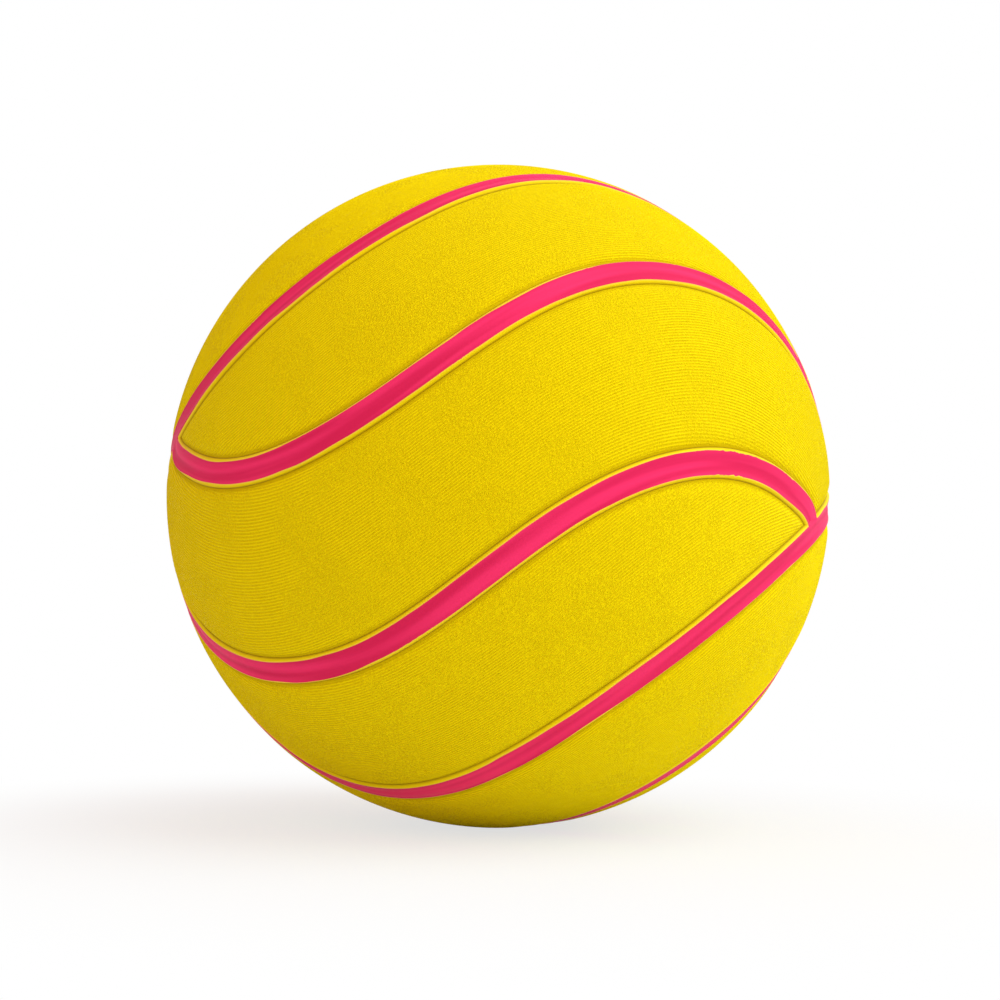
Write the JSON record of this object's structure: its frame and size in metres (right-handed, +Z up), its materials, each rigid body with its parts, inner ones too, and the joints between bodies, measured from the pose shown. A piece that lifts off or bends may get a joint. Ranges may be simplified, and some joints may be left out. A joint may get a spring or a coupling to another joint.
{
  "type": "water polo ball",
  "caption": "Inflatable rubber water polo ball: swirling yellow leaf and band panels with pink-faced strips set between them, over a thread-wound bladder with a needle valve.",
  "frame": {"origin": "centre of the ball", "axes": "+X to the right pole of the channel layout, +Y from the centre out through the valve, +Z up; the picture looks along +Y at a band panel"},
  "size_m": [0.2192, 0.22, 0.2198],
  "materials": {
    "cover_rubber": "yellow moulded rubber with a fine ribbed grip texture, satin",
    "channel_rubber": "smooth yellow rubber strip with its face painted hot pink, satin",
    "carcass_rubber": "raw rubber, matt",
    "nylon_winding": "white nylon thread, wound in all directions and gummed",
    "butyl_rubber": "black butyl, matt",
    "valve_rubber": "soft black rubber"
  },
  "bodies": {
    "ball": {"leaf_panel_1": "cover_rubber", "leaf_panel_2": "cover_rubber", "leaf_panel_3": "cover_rubber", "leaf_panel_4": "cover_rubber", "leaf_panel_5": "cover_rubber", "band_panel_1": "cover_rubber", "band_panel_2": "cover_rubber", "band_panel_3": "cover_rubber", "band_panel_4": "cover_rubber", "band_panel_5": "cover_rubber", "right_strip_1": "channel_rubber", "right_strip_2": "channel_rubber", "right_strip_3": "channel_rubber", "right_strip_4": "channel_rubber", "right_strip_5": "channel_rubber", "left_strip_1": "channel_rubber", "left_strip_2": "channel_rubber", "left_strip_3": "channel_rubber", "left_strip_4": "channel_rubber", "left_strip_5": "channel_rubber", "right_hub": "channel_rubber", "left_hub": "channel_rubber", "carcass": "carcass_rubber", "winding": "nylon_winding", "bladder": "butyl_rubber", "valve_seat": "butyl_rubber"},
    "valve_plug": {"valve_plug": "valve_rubber"}
  },
  "joints": [
    {"name": "valve_plug_pull", "type": "slide", "parent": "ball", "child": "valve_plug", "axis": [0, 1, 0], "range_m": [0, 0.022]}
  ]
}
